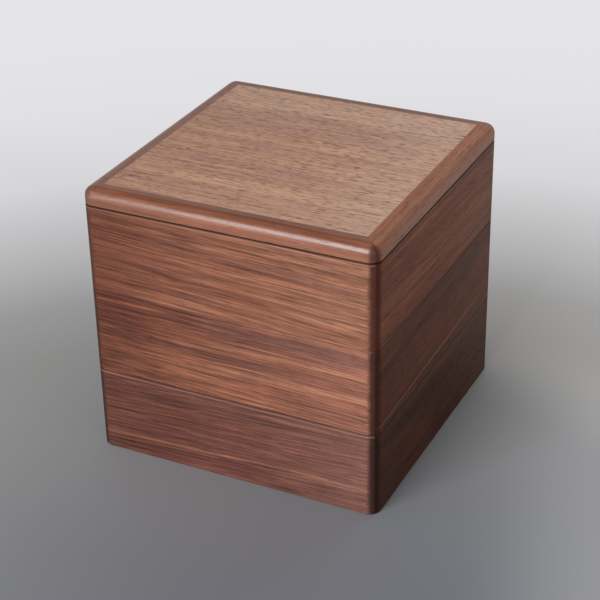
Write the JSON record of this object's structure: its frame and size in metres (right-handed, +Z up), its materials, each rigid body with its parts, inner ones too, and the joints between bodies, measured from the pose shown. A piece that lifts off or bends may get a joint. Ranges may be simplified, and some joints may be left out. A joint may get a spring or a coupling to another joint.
{
  "type": "stacking jubako box",
  "caption": "Square tiered food box in solid walnut: nesting mitred tiers, each with its own base, under a flush framed lid that lifts off.",
  "frame": {"origin": "centre of the face that the box stands on", "axes": "+Z up through the stack, the front board faces -Y, +X to the right of someone facing the front"},
  "size_m": [0.18, 0.18, 0.17],
  "materials": {
    "wall_walnut": "clear satin over planed walnut",
    "side_walnut": "clear satin over planed walnut",
    "base_walnut": "clear satin over planed walnut",
    "rail_walnut": "clear satin over planed walnut",
    "panel_walnut": "clear satin over planed walnut",
    "spline_wood": "bare, glued in"
  },
  "bodies": {
    "bottom_tier": {"bottom_front_wall": "wall_walnut", "bottom_back_wall": "wall_walnut", "bottom_left_wall": "side_walnut", "bottom_right_wall": "side_walnut", "bottom_base": "base_walnut", "bottom_corner_splines": "spline_wood"},
    "middle_tier": {"middle_front_wall": "wall_walnut", "middle_back_wall": "wall_walnut", "middle_left_wall": "side_walnut", "middle_right_wall": "side_walnut", "middle_base": "base_walnut", "middle_corner_splines": "spline_wood"},
    "top_tier": {"top_front_wall": "wall_walnut", "top_back_wall": "wall_walnut", "top_left_wall": "side_walnut", "top_right_wall": "side_walnut", "top_base": "base_walnut", "top_corner_splines": "spline_wood"},
    "lid": {"lid_front_rail": "rail_walnut", "lid_back_rail": "rail_walnut", "lid_left_rail": "rail_walnut", "lid_right_rail": "rail_walnut", "lid_panel": "panel_walnut"}
  },
  "joints": [
    {"name": "middle_tier_lift", "type": "slide", "parent": "bottom_tier", "child": "middle_tier", "axis": [0, 0, 1], "range_m": [0, 0.08]},
    {"name": "top_tier_lift", "type": "slide", "parent": "middle_tier", "child": "top_tier", "axis": [0, 0, 1], "range_m": [0, 0.08]},
    {"name": "lid_lift", "type": "slide", "parent": "top_tier", "child": "lid", "axis": [0, 0, 1], "range_m": [0, 0.08]}
  ]
}
